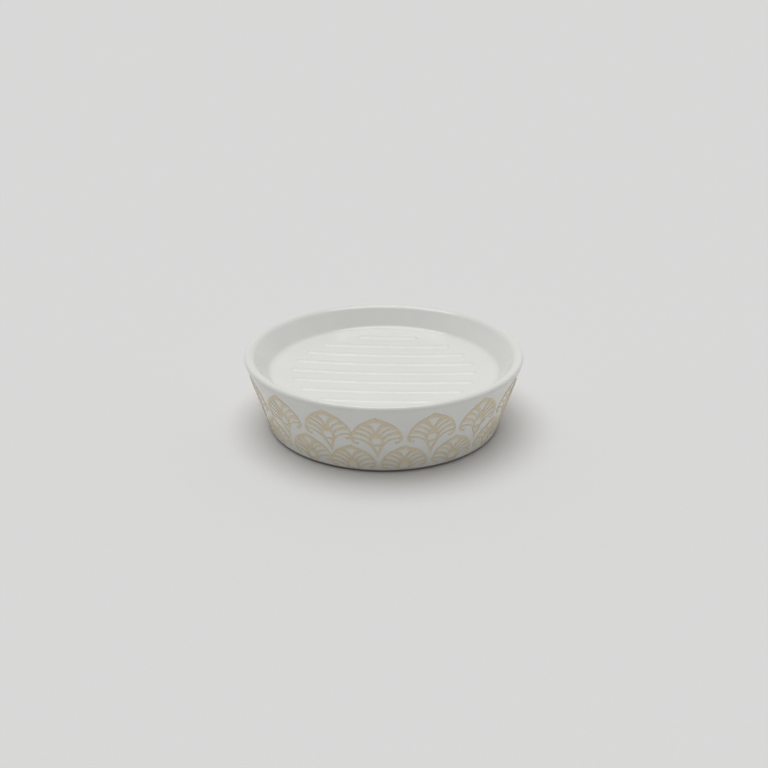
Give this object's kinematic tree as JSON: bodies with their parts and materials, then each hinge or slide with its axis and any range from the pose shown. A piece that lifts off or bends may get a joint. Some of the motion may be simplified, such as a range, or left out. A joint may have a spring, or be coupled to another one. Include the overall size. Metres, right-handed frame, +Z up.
{
  "type": "soap dish",
  "caption": "Round glazed ceramic soap dish with a flared wall, a ribbed and dished well, an open underside, rows of printed palmette fans and thin foot pads.",
  "frame": {"origin": "on the table, under the centre of the dish", "axes": "+Z up, +X along the ribs, -Y towards the side that the picture shows in front"},
  "size_m": [0.115, 0.115, 0.0314],
  "materials": {
    "glaze": "glossy white glaze over a cast ceramic body",
    "print": "satin beige enamel, printed and fired on",
    "pad": "soft grey stick-on pad"
  },
  "bodies": {
    "root": {"dish_body": "glaze", "upper_fan_01": "print", "upper_fan_02": "print", "upper_fan_03": "print", "upper_fan_04": "print", "upper_fan_05": "print", "upper_fan_06": "print", "upper_fan_07": "print", "upper_fan_08": "print", "upper_fan_09": "print", "upper_fan_10": "print", "upper_fan_11": "print", "upper_fan_12": "print", "upper_fan_13": "print", "upper_fan_14": "print", "upper_fan_15": "print", "upper_fan_16": "print", "lower_fan_01": "print", "lower_fan_02": "print", "lower_fan_03": "print", "lower_fan_04": "print", "lower_fan_05": "print", "lower_fan_06": "print", "lower_fan_07": "print", "lower_fan_08": "print", "lower_fan_09": "print", "lower_fan_10": "print", "lower_fan_11": "print", "lower_fan_12": "print", "lower_fan_13": "print", "lower_fan_14": "print", "lower_fan_15": "print", "lower_fan_16": "print", "foot_pad_1": "pad", "foot_pad_2": "pad", "foot_pad_3": "pad", "foot_pad_4": "pad"}
  },
  "joints": []
}
